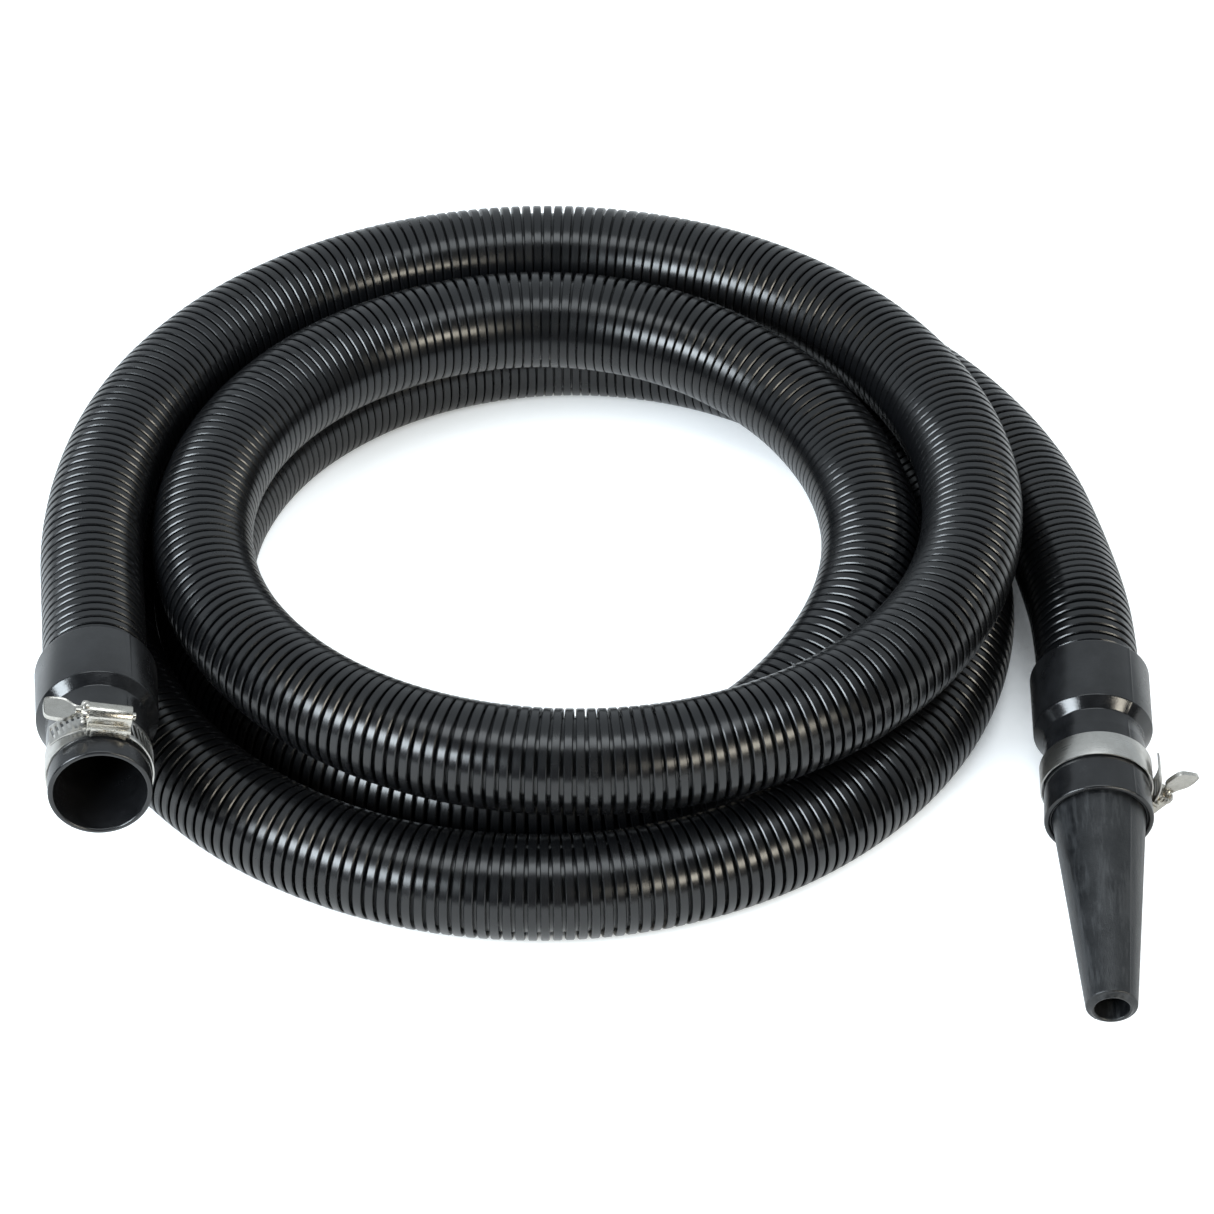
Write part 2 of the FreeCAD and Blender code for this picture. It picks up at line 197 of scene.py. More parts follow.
def shader_group(name, inputs, outputs):
    """An empty group with named inputs and outputs, and its two end nodes."""
    tree = bpy.data.node_groups.new(name, "ShaderNodeTree")
    for label, kind, value in inputs:
        socket = tree.interface.new_socket(label, in_out="INPUT", socket_type=kind)
        if value is not None:
            socket.default_value = value
    for label, kind in outputs:
        tree.interface.new_socket(label, in_out="OUTPUT", socket_type=kind)
    return tree, tree.nodes.new("NodeGroupInput").outputs, tree.nodes.new("NodeGroupOutput").inputs


FLOAT, VECTOR = "NodeSocketFloat", "NodeSocketVector"

# %% [markdown]
# ### Grain, handling marks and dust
#
# Moulded plastic is never quite smooth: it has a fine grain from its mould, and a slow
# waviness that breaks up reflections.  Handling leaves thin scuffs, and pale dust gathers
# in soft patches.  Each effect is a mask or a height, so that a finish can use it for its
# colour, its roughness or its bump.

# %% Shared effects
def make_grain():
    sockets = [("Vector", VECTOR, None), ("Size", FLOAT, 0.0004), ("Wave size", FLOAT, 0.012)]
    tree, given, out = shader_group("mould_grain", sockets, [("Grain", FLOAT), ("Wave", FLOAT)])
    for label, size, detail in (("Grain", "Size", 3.0), ("Wave", "Wave size", 2.0)):
        scale = number(tree, "DIVIDE", 1.0, given[size])
        noise = {"Vector": given["Vector"], "Scale": scale, "Detail": detail, "Roughness": 0.6}
        made = add_node(tree, "ShaderNodeTexNoise", noise)
        tree.links.new(made.outputs["Fac"], out[label])
    return tree


def make_scuffs():
    """Thin marks: noise stretched one way, and only its highest ridges kept."""
    sockets = [("Vector", VECTOR, None), ("Stretch", VECTOR, (400, 400, 60)), ("Cover", FLOAT, 0.3)]
    tree, given, out = shader_group("handling_scuffs", sockets, [("Mask", FLOAT)])
    joined = {0: given["Vector"], 1: given["Stretch"]}
    stretched = add_node(tree, "ShaderNodeVectorMath", joined, operation="MULTIPLY").outputs[0]
    noise = {"Vector": stretched, "Scale": 1.0, "Detail": 4.0, "Roughness": 0.7}
    ridges = add_node(tree, "ShaderNodeTexNoise", noise).outputs["Fac"]
    floor_level = number(tree, "SUBTRACT", 0.72, number(tree, "MULTIPLY", given["Cover"], 0.3))
    top_level = number(tree, "ADD", floor_level, 0.12)
    tree.links.new(spread(tree, ridges, floor_level, top_level, 0.0, 1.0), out["Mask"])
    return tree


def make_dust():
    """Soft patches, with fine specks in them."""
    sockets = [("Vector", VECTOR, None), ("Patch size", FLOAT, 0.02), ("Amount", FLOAT, 0.5)]
    tree, given, out = shader_group("settled_dust", sockets, [("Mask", FLOAT)])
    patch_scale = number(tree, "DIVIDE", 1.0, given["Patch size"])
    patch = {"Vector": given["Vector"], "Scale": patch_scale, "Detail": 5.0, "Roughness": 0.65}
    patches = add_node(tree, "ShaderNodeTexNoise", patch).outputs["Fac"]
    speck = {"Vector": given["Vector"], "Scale": 2500.0, "Detail": 1.0}
    specks = add_node(tree, "ShaderNodeTexNoise", speck).outputs["Fac"]
    soft = spread(tree, patches, 0.38, 0.72, 0.0, 1.0)
    fine = spread(tree, specks, 0.45, 0.7, 0.55, 1.0)
    mask = number(tree, "MULTIPLY", number(tree, "MULTIPLY", soft, fine), given["Amount"])
    tree.links.new(mask, out["Mask"])
    return tree


mould_grain, handling_scuffs, settled_dust = make_grain(), make_scuffs(), make_dust()
print("shared effects:", mould_grain.name, handling_scuffs.name, settled_dust.name)

# %% Helper for one finish
def start_material(name, metallic=0.0, ior=1.5):
    made = bpy.data.materials.new(name)
    made.use_nodes = True
    tree = made.node_tree
    shader = tree.nodes["Principled BSDF"]
    shader.inputs["Metallic"].default_value = metallic
    shader.inputs["IOR"].default_value = ior
    return made, tree, shader.inputs


def grouped(tree, group, **inputs):
    """One of the shared effects in a material, with its own values."""
    made = tree.nodes.new("ShaderNodeGroup")
    made.node_tree = group
    for label, value in inputs.items():
        key = label.replace("_", " ")
        if isinstance(value, bpy.types.NodeSocket):
            tree.links.new(value, made.inputs[key])
        else:
            made.inputs[key].default_value = value
    return made.outputs


def tint(tree, factor, low, high):
    """A colour between two, by a mask."""
    ends = {0: factor, 6: (*low, 1), 7: (*high, 1)}
    return add_node(tree, "ShaderNodeMix", ends, data_type="RGBA").outputs[2]


def bump(tree, height, distance, strength=1.0):
    raised = {"Height": height, "Distance": distance, "Strength": strength}
    return add_node(tree, "ShaderNodeBump", raised).outputs["Normal"]


def bump_grain(tree, grain, share, distance):
    """The mould's slow waviness with its fine grain on it, as a bump."""
    fine = number(tree, "MULTIPLY", grain["Grain"], share)
    return bump(tree, number(tree, "ADD", fine, grain["Wave"]), distance)


def own_place(tree):
    """Where a point is on its own piece, from the attribute that the piece carries."""
    return add_node(tree, "ShaderNodeAttribute", attribute_name="own_place").outputs["Vector"]


# %% [markdown]
# ### Hose black
#
# The hose is extruded from black plastic and leaves the line with a shine.  Its ribs are
# not alike: each has cooled a little differently, so each carries a number of its own
# that shifts its roughness slightly.

# %% Hose black
def make_hose_black():
    made, tree, shader = start_material("hose_black")
    place = add_node(tree, "ShaderNodeTexCoord").outputs["Object"]
    tone = add_node(tree, "ShaderNodeAttribute", attribute_name="rib_tone").outputs["Fac"]
    grain = grouped(tree, mould_grain, Vector=place, Size=0.0011, Wave_size=0.014)
    dust = grouped(tree, settled_dust, Vector=place, Patch_size=0.04, Amount=0.3)["Mask"]
    scuffs = grouped(tree, handling_scuffs, Vector=place, Stretch=(160, 160, 160), Cover=0.05)
    marks = number(tree, "MAXIMUM", dust, number(tree, "MULTIPLY", scuffs["Mask"], 0.2))
    black, dusty = (0.0035, 0.0037, 0.0043), (0.012, 0.0125, 0.0135)
    tree.links.new(tint(tree, marks, black, dusty), shader["Base Color"])
    smooth = spread(tree, grain["Wave"], 0.3, 0.7, 0.19, 0.25)
    varied = number(tree, "ADD", smooth, number(tree, "MULTIPLY", tone, 0.05))
    worn = number(tree, "MULTIPLY", marks, 0.1)
    tree.links.new(number(tree, "ADD", varied, worn), shader["Roughness"])
    tree.links.new(bump_grain(tree, grain, 0.12, 0.00006), shader["Normal"])
    return made


hose_black = make_hose_black()

# %% [markdown]
# ### Cuff black and nozzle black
#
# The cuffs are moulded in a softer, satin vinyl; the cone between socket and spigot is
# polished in the mould, and it catches the lights.  The nozzle is natural rubber, dull,
# with the streaky bloom that rubber grows along the way it was drawn from its mould.

# %% Cuff black
SOCKET_LENGTH, STEP_LENGTH = 31.0, 4.5


def make_cuff_black():
    made, tree, shader = start_material("cuff_black")
    place = own_place(tree)
    along = add_node(tree, "ShaderNodeSeparateXYZ", {0: place}).outputs["Z"]
    grain = grouped(tree, mould_grain, Vector=place, Size=0.0006, Wave_size=0.011)
    dust = grouped(tree, settled_dust, Vector=place, Patch_size=0.016, Amount=0.5)["Mask"]
    scuffs = grouped(tree, handling_scuffs, Vector=place, Stretch=(420, 420, 70), Cover=0.2)
    marks = number(tree, "MAXIMUM", dust, number(tree, "MULTIPLY", scuffs["Mask"], 0.45))
    black, dusty = (0.0055, 0.0057, 0.0063), (0.030, 0.031, 0.034)
    tree.links.new(tint(tree, marks, black, dusty), shader["Base Color"])
    middle = (SOCKET_LENGTH + STEP_LENGTH / 2) * MM
    off_step = number(tree, "ABSOLUTE", number(tree, "SUBTRACT", along, middle), 0.0)
    step_end = (SOCKET_LENGTH + STEP_LENGTH) * MM
    plain = spread(tree, along, SOCKET_LENGTH * MM, step_end, 0.27, 0.19)
    polish = spread(tree, off_step, STEP_LENGTH * 0.45 * MM, STEP_LENGTH * 0.75 * MM, 0.45, 1.0)
    satin = number(tree, "MULTIPLY", plain, polish)
    worn = number(tree, "MULTIPLY", marks, 0.2)
    wavy = spread(tree, grain["Wave"], 0.3, 0.7, -0.02, 0.03)
    tree.links.new(number(tree, "ADD", number(tree, "ADD", satin, worn), wavy), shader["Roughness"])
    tree.links.new(bump_grain(tree, grain, 0.3, 0.00010), shader["Normal"])
    return made


def make_nozzle_black():
    made, tree, shader = start_material("nozzle_black", ior=1.45)
    place = own_place(tree)
    grain = grouped(tree, mould_grain, Vector=place, Size=0.0007, Wave_size=0.02)
    streaks = grouped(tree, handling_scuffs, Vector=place, Stretch=(210, 210, 26), Cover=0.75)
    dust = grouped(tree, settled_dust, Vector=place, Patch_size=0.012, Amount=0.8)["Mask"]
    bloom = number(tree, "MULTIPLY", streaks["Mask"], 0.45)
    marks = number(tree, "ADD", bloom, number(tree, "MULTIPLY", dust, 0.6))
    black, pale = (0.0050, 0.0056, 0.0066), (0.040, 0.042, 0.045)
    tree.links.new(tint(tree, marks, black, pale), shader["Base Color"])
    tree.links.new(spread(tree, marks, 0.0, 1.0, 0.33, 0.62), shader["Roughness"])
    tree.links.new(bump_grain(tree, grain, 0.5, 0.00025), shader["Normal"])
    return made


cuff_black, nozzle_black = make_cuff_black(), make_nozzle_black()

# %% [markdown]
# ### Clamp steels
#
# All the clamp is stainless steel, but each piece is worked differently.  The band is
# slit from brushed strip, so its fine lines run round the cuff.  The housing and the wing
# are stamped and tumbled, which leaves a soft satin, and the screw is rolled and bright.
# Every clamp piece carries its place within its own clamp, so the lines stay with it.

# %% Clamp steels
STEELS = [
    # name, clean colour, soiled colour, roughness, brush lines in a metre, their depth
    ("band_steel", (0.50, 0.49, 0.465), (0.30, 0.285, 0.26), 0.30, (90, 90, 5200), 0.00003),
    ("housing_steel", (0.52, 0.50, 0.455), (0.30, 0.275, 0.235), 0.24, (500, 2600, 2600), 0.00003),
    ("screw_steel", (0.50, 0.48, 0.44), (0.24, 0.22, 0.19), 0.22, (1800, 700, 700), 0.00003),
    ("wing_steel", (0.50, 0.485, 0.45), (0.30, 0.285, 0.255), 0.27, (700, 1800, 1800), 0.00005),
]


def make_steel(name, clean, soiled, rough, brush, depth):
    made, tree, shader = start_material(name, metallic=1.0)
    place = own_place(tree)
    stretched = {0: place, 1: brush}
    lines = add_node(tree, "ShaderNodeVectorMath", stretched, operation="MULTIPLY").outputs[0]
    noise = {"Vector": lines, "Scale": 1.0, "Detail": 3.0, "Roughness": 0.6}
    brushed = add_node(tree, "ShaderNodeTexNoise", noise).outputs["Fac"]
    dust = grouped(tree, settled_dust, Vector=place, Patch_size=0.004, Amount=0.6)["Mask"]
    tree.links.new(tint(tree, dust, clean, soiled), shader["Base Color"])
    uneven = spread(tree, brushed, 0.3, 0.7, rough - 0.06, rough + 0.08)
    dulled = number(tree, "ADD", uneven, number(tree, "MULTIPLY", dust, 0.12))
    tree.links.new(dulled, shader["Roughness"])
    tree.links.new(bump(tree, brushed, depth), shader["Normal"])
    return made


band_steel, housing_steel, screw_steel, wing_steel = [make_steel(*steel) for steel in STEELS]

# %% [markdown]
# ## The hose's wall
#
# Between its ribs, the hose is a plain thin tube.  A curve can carry its own round bevel,
# which follows the line exactly, and Solidify then gives that skin its thickness towards
# the bore.  This wall is the piece that stands for the whole hose.

# %% The wall
HOSE_OD = 44.0 * MM
HOSE_BORE = 36.0 * MM
GROOVE_FLOOR = 37.4 * MM   # diameter at the bottom of the grooves
WALL_ROUNDNESS = 9         # divisions added in each quarter of the tube's circle


def finished_mesh(source, name, material):
    """The mesh that an object's modifiers give, on a new object of its own."""
    seen = source.evaluated_get(bpy.context.evaluated_depsgraph_get())
    mesh = bpy.data.meshes.new_from_object(seen)
    mesh.name = name
    mesh.materials.clear()
    mesh.materials.append(material)
    made = bpy.data.objects.new(name, mesh)
    scene.collection.objects.link(made)
    return made


def shade_by_angle(piece, degrees):
    """Smooth, but with a crease wherever two faces meet at more than an angle."""
    piece.data.shade_smooth()
    piece.data.set_sharp_from_angle(angle=math.radians(degrees))


def triangles(piece):
    return sum(len(face.vertices) - 2 for face in piece.data.polygons)


line.data.bevel_depth = GROOVE_FLOOR / 2
line.data.bevel_resolution = WALL_ROUNDNESS
skin = finished_mesh(line, "hose_skin", hose_black)
thick = skin.modifiers.new("wall", "SOLIDIFY")
thick.thickness = (GROOVE_FLOOR - HOSE_BORE) / 2
thick.offset = -1.0
hose_wall = finished_mesh(skin, "hose_wall", hose_black)
hose_wall.data.shade_smooth()
bpy.data.objects.remove(skin)
bpy.data.objects.remove(line)
print("hose_wall:", triangles(hose_wall), "triangles")

# %% [markdown]
# ## The ribs
#
# Some 860 ribs stand on that wall, one every 4.75 mm.  Each is a flat ring with its outer
# corners rounded over.  Made by hand they would take a day; here one ring is made once, and
# Geometry Nodes set it along the hose's line.  Every size is a named input, the random
# number for each rib comes from a fixed seed, and the ribs are made in a few lengths, so
# that no single mesh is too heavy.

# %% Geometry Nodes for the ribs
RIB_PITCH = 4.75 * MM
RIB_WIDTH = 3.7 * MM
RIB_EDGE = 0.42 * MM
RIB_SIDES = 40
RIB_FOOT = 0.3 * MM        # how far a rib is rooted in the wall
RIB_SEED = 7
RIB_LIMIT = 9999           # more than any hose has


def rib_tree():
    tree = bpy.data.node_groups.new("hose_ribs", "GeometryNodeTree")
    new_socket = tree.interface.new_socket
    new_socket("Line", in_out="INPUT", socket_type="NodeSocketGeometry")
    sizes = [("Pitch", RIB_PITCH), ("Rib width", RIB_WIDTH), ("Edge radius", RIB_EDGE)]
    sizes += [("Outer radius", HOSE_OD / 2), ("Foot radius", GROOVE_FLOOR / 2 - RIB_FOOT)]
    for label, value in sizes:
        new_socket(label, in_out="INPUT", socket_type="NodeSocketFloat").default_value = value
    counts = [("First rib", 0), ("Last rib", RIB_LIMIT), ("Sides", RIB_SIDES), ("Seed", RIB_SEED)]
    for label, value in counts:
        new_socket(label, in_out="INPUT", socket_type="NodeSocketInt").default_value = value
    new_socket("Finish", in_out="INPUT", socket_type="NodeSocketMaterial")
    new_socket("Ribs", in_out="OUTPUT", socket_type="NodeSocketGeometry")
    given = tree.nodes.new("NodeGroupInput").outputs

    depth = number(tree, "SUBTRACT", given["Outer radius"], given["Foot radius"])
    section = {"Width": depth, "Height": given["Rib width"]}
    flat = add_node(tree, "GeometryNodeCurvePrimitiveQuadrilateral", section).outputs[0]
    corner = add_node(tree, "GeometryNodeInputPosition").outputs[0]
    across = add_node(tree, "ShaderNodeSeparateXYZ", {0: corner}).outputs[0]
    on_outside = number(tree, "GREATER_THAN", across, 0.0)
    edge_radius = number(tree, "MULTIPLY", given["Edge radius"], on_outside)
    edge = {0: flat, "Radius": edge_radius, "Count": 1}
    rounded_off = add_node(tree, "GeometryNodeFilletCurve", edge, mode="POLY").outputs[0]
    both_radii = number(tree, "ADD", given["Outer radius"], given["Foot radius"])
    middle = number(tree, "MULTIPLY", both_radii, 0.5)
    loop = {"Resolution": given["Sides"], "Radius": middle}
    circle = add_node(tree, "GeometryNodeCurvePrimitiveCircle", loop).outputs[0]
    ring = add_node(tree, "GeometryNodeCurveToMesh", {0: circle, 1: rounded_off}).outputs[0]
    ring = add_node(tree, "GeometryNodeMergeByDistance", {0: ring, "Distance": 1e-6}).outputs[0]

    curve = add_node(tree, "GeometryNodeMeshToCurve", {0: given["Line"]}).outputs[0]
    stops = {0: curve, "Length": given["Pitch"]}
    points = add_node(tree, "GeometryNodeCurveToPoints", stops, mode="LENGTH").outputs
    index = add_node(tree, "GeometryNodeInputIndex").outputs[0]
    below_first = number(tree, "SUBTRACT", given["First rib"], 0.5)
    above_last = number(tree, "ADD", given["Last rib"], 0.5)
    from_first = number(tree, "GREATER_THAN", index, below_first)
    to_last = number(tree, "LESS_THAN", index, above_last)
    chosen = number(tree, "MULTIPLY", from_first, to_last)
    drawn = {"Seed": given["Seed"], "ID": index}
    chance = add_node(tree, "FunctionNodeRandomValue", drawn).outputs[1]
    noted = {0: points["Points"], "Name": "rib_tone", "Value": chance}
    toned = add_node(tree, "GeometryNodeStoreNamedAttribute", noted).outputs[0]
    placing = {"Points": toned, "Selection": chosen, "Instance": ring}
    placing["Rotation"] = points["Rotation"]
    ribs = add_node(tree, "GeometryNodeInstanceOnPoints", placing).outputs[0]
    real = add_node(tree, "GeometryNodeRealizeInstances", {0: ribs}).outputs[0]
    coated = {0: real, "Material": given["Finish"]}
    finished = add_node(tree, "GeometryNodeSetMaterial", coated).outputs[0]
    tree.links.new(finished, tree.nodes.new("NodeGroupOutput").inputs[0])
    return tree


rib_nodes = rib_tree()
rib_sockets = {item.name: item.identifier for item in rib_nodes.interface.items_tree}

# %% The ribs, in four lengths
RIB_LENGTHS = 4
RIB_CREASE = 30            # degrees


def make_ribs(name, first, last):
    holder = bpy.data.objects.new(name + "_line", line_mesh.copy())
    scene.collection.objects.link(holder)
    modifier = holder.modifiers.new("ribs", "NODES")
    modifier.node_group = rib_nodes
    modifier[rib_sockets["First rib"]] = first
    modifier[rib_sockets["Last rib"]] = last
    modifier[rib_sockets["Finish"]] = hose_black
    made = finished_mesh(holder, name, hose_black)
    bpy.data.objects.remove(holder)
    return made


rib_count = int(line_length / RIB_PITCH) + 1
rib_share = math.ceil(rib_count / RIB_LENGTHS)
hose_ribs = []
for i in range(RIB_LENGTHS):
    ribs = make_ribs("hose_ribs_%d" % (i + 1), i * rib_share, (i + 1) * rib_share - 1)
    shade_by_angle(ribs, RIB_CREASE)
    hose_ribs.append(ribs)
    print(ribs.name, triangles(ribs), "triangles")

# %% [markdown]
# ## Turned shapes
#
# Cuffs, nozzle and screws are all round about an axis, so one lathe makes them: an outline
# of radius and height is turned about Z.  Sharp corners are first rounded off, because a
# moulded edge always has a small radius and that is what catches the light.  A relief may
# lift the surface here and there, for a parting line, teeth or a thread.

# %% Lathe
CORNER_SHARE = 0.45        # how much of an edge the rounding at one end may use
LATHE_SIDES = 96


def rounded(outline, radii, steps=4):
    """A closed outline with the given corners rounded, by their index."""
    result = []
    for i, corner in enumerate(outline):
        if i not in radii:
            result.append(corner)
            continue
        here = Vector(corner)
        before = Vector(outline[i - 1]) - here
        after = Vector(outline[(i + 1) % len(outline)]) - here
        half = before.angle(after) / 2
        room = min(CORNER_SHARE * before.length, CORNER_SHARE * after.length)
        cut = min(radii[i] / math.tan(half), room)
        radius = cut * math.tan(half)
        inward = (before.normalized() + after.normalized()).normalized()
        middle = here + inward * (radius / math.sin(half))
        start = here + before.normalized() * cut - middle
        end = here + after.normalized() * cut - middle
        for step in range(steps + 1):
            swung = start.slerp(end, step / steps) if start.angle(end) > 1e-4 else start
            result.append(tuple(middle + swung))
    return result


def turned(name, outline, matrix, material, sides, relief, extra_angles=()):
    """A solid turned about Z from (radius, z) corners in mm, put in place by a matrix."""
    even = [2 * math.pi * i / sides for i in range(sides)]
    angles = np.array(sorted(even + list(extra_angles)))
    radius = np.array([corner[0] for corner in outline])[:, None] + np.zeros(len(angles))
    height = np.array([corner[1] for corner in outline])[:, None] + np.zeros(len(angles))
    radius = radius + relief(radius, height, angles[None, :] + np.zeros(radius.shape))
    around = [radius * np.cos(angles), radius * np.sin(angles), height]
    places = np.stack(around, axis=-1).reshape(-1, 3)
    rows, columns = len(outline), len(angles)
    faces = []
    for i in range(rows):
        for j in range(columns):
            here, ahead, beside = i * columns, (i + 1) % rows * columns, (j + 1) % columns
            faces.append((here + j, here + beside, ahead + beside, ahead + j))
    mesh = bpy.data.meshes.new(name)
    mesh.from_pydata([tuple(place) for place in places], [], faces)
    mesh.materials.append(material)
    return placed(name, mesh, matrix)


def placed(name, mesh, matrix):
    """Cleans a mesh made in mm, notes each point's own place, and puts it in the frame."""
    body = bmesh.new()
    body.from_mesh(mesh)
    bmesh.ops.remove_doubles(body, verts=body.verts, dist=1e-4)
    bmesh.ops.dissolve_degenerate(body, edges=body.edges, dist=1e-5)
    bmesh.ops.recalc_face_normals(body, faces=body.faces)
    body.to_mesh(mesh)
    body.free()
    note_place(mesh, Matrix.Scale(MM, 4))
    mesh.transform(matrix @ Matrix.Scale(MM, 4))
    made = bpy.data.objects.new(name, mesh)
    scene.collection.objects.link(made)
    return made


def note_place(mesh, matrix):
    """Stores where each point is on its own piece, in metres."""
    noted = mesh.attributes.new("own_place", "FLOAT_VECTOR", "POINT")
    for vertex, value in zip(mesh.vertices, noted.data):
        value.vector = matrix @ vertex.co


# %% Where each end is
SOCKET_DEPTH = 29.0


def end_matrix(end, before):
    """A frame at a cuff's rim: Z out of its mouth, X to the right and Y up."""
    end, before = Vector(end), Vector(before)
    out = (end - before).normalized()
    right = Vector((-out.y, out.x, 0)).normalized()
    up = out.cross(right)
    rim = end - out * SOCKET_DEPTH * MM
    return Matrix.Translation(rim) @ Matrix((right, up, out)).transposed().to_4x4()


pump_end = end_matrix(route[0], route[1])
nozzle_end = end_matrix(route[-1], route[-2])
print("pump rim", [round(value, 4) for value in pump_end.translation])
print("nozzle rim", [round(value, 4) for value in nozzle_end.translation])

# %% [markdown]
# ## Cuffs
#
# A cuff has a socket that the hose is glued into, a short cone, and a plain spigot that
# the clamp closes.  It is moulded in two halves of a tool, which leaves a thin raised line
# down each side.  The nozzle's cuff is the same moulding, with a spigot that is as moulded
# at the cone and stretched a little from the nozzle's shank on.

# %% Cuffs
SOCKET_OD = 51.3
SEAT_R = 22.15
SPIGOT_LENGTH = 44.0
SPIGOT_WALL = 2.3
PUMP_SPIGOT_OD, NOZZLE_SPIGOT_OD = 42.6, 46.0
CUFF_LENGTH = SOCKET_LENGTH + STEP_LENGTH + SPIGOT_LENGTH
SHANK_LENGTH, SHANK_SHORT = 36.0, 1.5
STOP_R = 18.0              # the edge that the hose's end meets in the socket
CUFF_SIDES = 120
PARTING_HALF, PARTING_CREST, PARTING_LIFT = 0.55, 0.25, 0.16
PARTING_TURN = math.radians(53)


def parting_angles(radius):
    """Extra angles for a thin line on each side."""
    offsets = [-PARTING_HALF, -PARTING_CREST, PARTING_CREST, PARTING_HALF]
    sides = (PARTING_TURN, PARTING_TURN + math.pi)
    return [(side + offset / radius) % (2 * math.pi) for side in sides for offset in offsets]


def parting_relief(skin_of):
    """Lifts the outer skin near the two parting lines."""
    def relief(radius, height, angle):
        side = np.abs((angle - PARTING_TURN + math.pi / 2) % math.pi - math.pi / 2) * radius
        ridge = np.clip(1 - side / PARTING_HALF, 0, 1)
        return np.where(radius > skin_of(height), ridge * PARTING_LIFT, 0.0)
    return relief


def make_cuff(name, matrix, spigot_od):
    socket_r, neck_r, spigot_r = SOCKET_OD / 2, PUMP_SPIGOT_OD / 2, spigot_od / 2
    step_end = SOCKET_LENGTH + STEP_LENGTH
    stretched = CUFF_LENGTH - SHANK_SHORT - SHANK_LENGTH
    outside = [(neck_r, step_end), (spigot_r, stretched), (spigot_r, CUFF_LENGTH)]
    inside = [(radius - SPIGOT_WALL, height) for radius, height in reversed(outside)]
    narrow = neck_r - SPIGOT_WALL
    outline = [(SEAT_R, 0), (socket_r, 0), (socket_r, SOCKET_LENGTH)] + outside + inside
    outline += [(narrow, SOCKET_DEPTH + SEAT_R - narrow), (STOP_R, SOCKET_DEPTH)]
    outline += [(SEAT_R, SOCKET_DEPTH)]
    corner_radii = {0: 0.5, 1: 1.1, 2: 1.3, 3: 1.0, 5: 1.1, 6: 0.9}
    if spigot_r > neck_r:
        corner_radii[4] = 2.5
    outline = rounded(outline, corner_radii)

    def mid_wall(height):
        """A radius inside the wall, which tells the outer skin from the inner one."""
        return np.where(height > step_end, narrow + 1.75, SEAT_R + 2.0)

    relief = parting_relief(mid_wall)
    made = turned(name, outline, matrix, cuff_black, CUFF_SIDES, relief, parting_angles(socket_r))
    shade_by_angle(made, 40)
    return made


pump_cuff = make_cuff("pump_cuff_moulding", pump_end, PUMP_SPIGOT_OD)
nozzle_cuff = make_cuff("nozzle_cuff_moulding", nozzle_end, NOZZLE_SPIGOT_OD)
print("cuffs:", triangles(pump_cuff), triangles(nozzle_cuff), "triangles")

# %% [markdown]
# ## Nozzle
#
# The nozzle is one rubber moulding: a plain shank that goes into the cuff, then a long
# cone down to a thick, rounded mouth.  Only its tip is narrow inside; the rest is hollow,
# so that it can be pushed into a fitting and seal.

# %% Nozzle
SHANK_OD = 41.3
ROOT_OD, TIP_OD, NOZZLE_REACH = 39.2, 23.2, 97.5
TIP_BORE, TIP_LAND, INLET_BORE = 14.8, 12.0, 32.0
NOZZLE_MID_R = 16.0


def make_nozzle():
    shank_end = CUFF_LENGTH - SHANK_SHORT
    tip = CUFF_LENGTH + NOZZLE_REACH
    outline = [
        (INLET_BORE / 2, shank_end - SHANK_LENGTH), (SHANK_OD / 2, shank_end - SHANK_LENGTH),
        (SHANK_OD / 2, shank_end), (ROOT_OD / 2, shank_end), (TIP_OD / 2, tip),
        (TIP_BORE / 2, tip), (TIP_BORE / 2, tip - TIP_LAND),
    ]
    outline = rounded(outline, {0: 0.6, 1: 0.8, 2: 0.7, 4: 2.4, 5: 0.7, 6: 2.0}, steps=6)

    def mid_wall(height):
        """A radius inside the wall, from the shank to the tip."""
        return 15.6 - 6.4 * np.clip((height - shank_end) / (tip - shank_end), 0, 1)

    relief, lines = parting_relief(mid_wall), parting_angles(NOZZLE_MID_R)
    return turned("nozzle_rubber", outline, nozzle_end, nozzle_black, LATHE_SIDES, relief, lines)


nozzle = make_nozzle()
shade_by_angle(nozzle, 40)
print("nozzle:", triangles(nozzle), "triangles")

# %% [markdown]
# ## Clamps
#
# The band, its saddle and the housing are bent from sheet, and their shapes in the packed
# model are right, down to the slanted slots.  What sheet metal also has is a soft edge
# everywhere it was cut or folded.  A copy of each is merged, its flat faces are cleaned,
# and a Bevel modifier rounds the edges that are sharper than a set angle.

# %% Clamp frames
CLAMPS = {
    # frame of the end, mm from the cuff's mouth, turn and wing's turn in degrees, spigot
    "pump": (pump_end, 17.0, -13.0, 0.0, PUMP_SPIGOT_OD),
    "nozzle": (nozzle_end, 23.4, -127.0, 70.0, NOZZLE_SPIGOT_OD),
}
BAND_FIT, BAND_LIFT, BAND_THICK, WORM_ROOM, WORM_R = 0.05, 1.95, 0.7, 0.3, 3.2
HOUSING_HALF = 9.0


def clamp_matrix(which):
    """A clamp's own frame: its axis on Z, its housing on +Y and its wing towards -X."""
    end, from_mouth, turn = CLAMPS[which][:3]
    slid = Matrix.Translation((0, 0, (CUFF_LENGTH - from_mouth) * MM))
    return end @ slid @ Matrix.Rotation(math.radians(turn), 4, "Z")


def screw_matrix(which):
    """The clamp's frame moved out to the middle of its worm."""
    spigot_r = CLAMPS[which][4] / 2
    height = spigot_r + BAND_FIT + BAND_LIFT + BAND_THICK + WORM_ROOM + WORM_R
    return clamp_matrix(which) @ Matrix.Translation((0, height * MM, 0))


